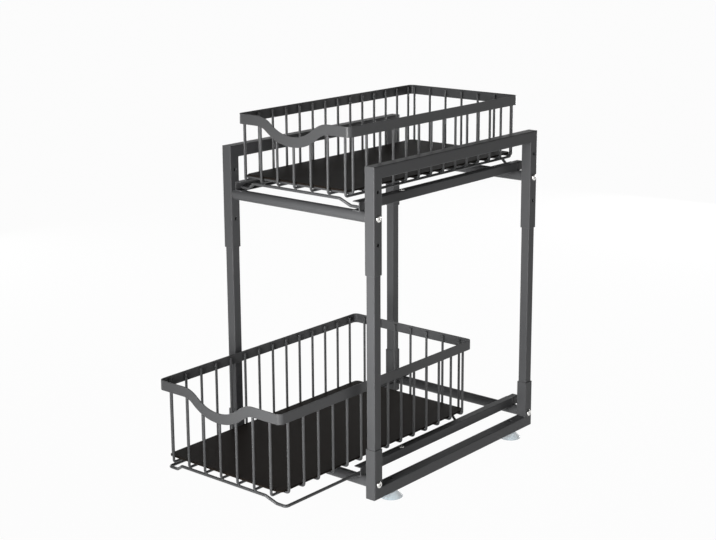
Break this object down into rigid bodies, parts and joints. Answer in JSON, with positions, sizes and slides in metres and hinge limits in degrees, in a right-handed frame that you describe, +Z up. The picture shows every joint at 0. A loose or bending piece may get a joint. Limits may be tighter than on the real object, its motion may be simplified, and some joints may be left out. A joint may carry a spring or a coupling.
{
  "type": "pull out cabinet basket",
  "caption": "Free-standing two-tier steel frame with two wire baskets that pull out on side rails, telescoping legs and suction-cup feet",
  "frame": {"origin": "on the floor under the middle of the whole object's box at rest, with the upper basket home and the lower basket pulled out 136.5 mm", "axes": "+Z up, +X to the right as seen from the front, baskets pull out towards -Y"},
  "size_m": [0.317, 0.5886, 0.5636],
  "materials": {
    "powder_coat": "satin charcoal powder coat",
    "wire_coat": "satin charcoal powder coat",
    "tray_plastic": "matt black sheet",
    "black_nylon": "moulded, satin",
    "zinc_screw": "bright zinc",
    "zinc_plug": "zinc",
    "clear_vinyl": "clear, faintly blue"
  },
  "bodies": {
    "root": {"bottom_frame_left": "powder_coat", "bottom_frame_right": "powder_coat", "post_front_left": "powder_coat", "post_front_right": "powder_coat", "post_back_left": "powder_coat", "post_back_right": "powder_coat", "lower_front_cross_tube": "powder_coat", "lower_back_cross_tube": "powder_coat", "lower_tube_plugs": "zinc_plug", "lower_frame_screws": "zinc_screw", "lower_rail_left": "powder_coat", "lower_rail_right": "powder_coat", "lower_rear_stops": "black_nylon", "lower_slide_pads": "black_nylon", "lower_stop_screws": "zinc_screw", "suction_feet": "clear_vinyl"},
    "upper_frame": {"top_frame_left": "powder_coat", "top_frame_right": "powder_coat", "upper_front_cross_tube": "powder_coat", "upper_back_cross_tube": "powder_coat", "upper_tube_plugs": "zinc_plug", "upper_frame_screws": "zinc_screw", "upper_rail_left": "powder_coat", "upper_rail_right": "powder_coat", "upper_rear_stops": "black_nylon", "upper_slide_pads": "black_nylon", "upper_stop_screws": "zinc_screw"},
    "lower_basket": {"lower_basket_rim": "wire_coat", "lower_basket_long_wires": "wire_coat", "lower_basket_cross_wires": "wire_coat", "lower_basket_runner_loop": "wire_coat", "lower_basket_tray": "tray_plastic", "lower_basket_glides": "black_nylon"},
    "upper_basket": {"upper_basket_rim": "wire_coat", "upper_basket_long_wires": "wire_coat", "upper_basket_cross_wires": "wire_coat", "upper_basket_runner_loop": "wire_coat", "upper_basket_tray": "tray_plastic", "upper_basket_glides": "black_nylon"}
  },
  "joints": [
    {"name": "height_adjust", "type": "slide", "parent": "root", "child": "upper_frame", "axis": [0, 0, 1], "range_m": [0, 0.0385]},
    {"name": "lower_basket_slide", "type": "slide", "parent": "root", "child": "lower_basket", "axis": [0, -1, 0], "range_m": [-0.1365, 0.1366]},
    {"name": "upper_basket_slide", "type": "slide", "parent": "upper_frame", "child": "upper_basket", "axis": [0, -1, 0], "range_m": [0, 0.2731]}
  ]
}
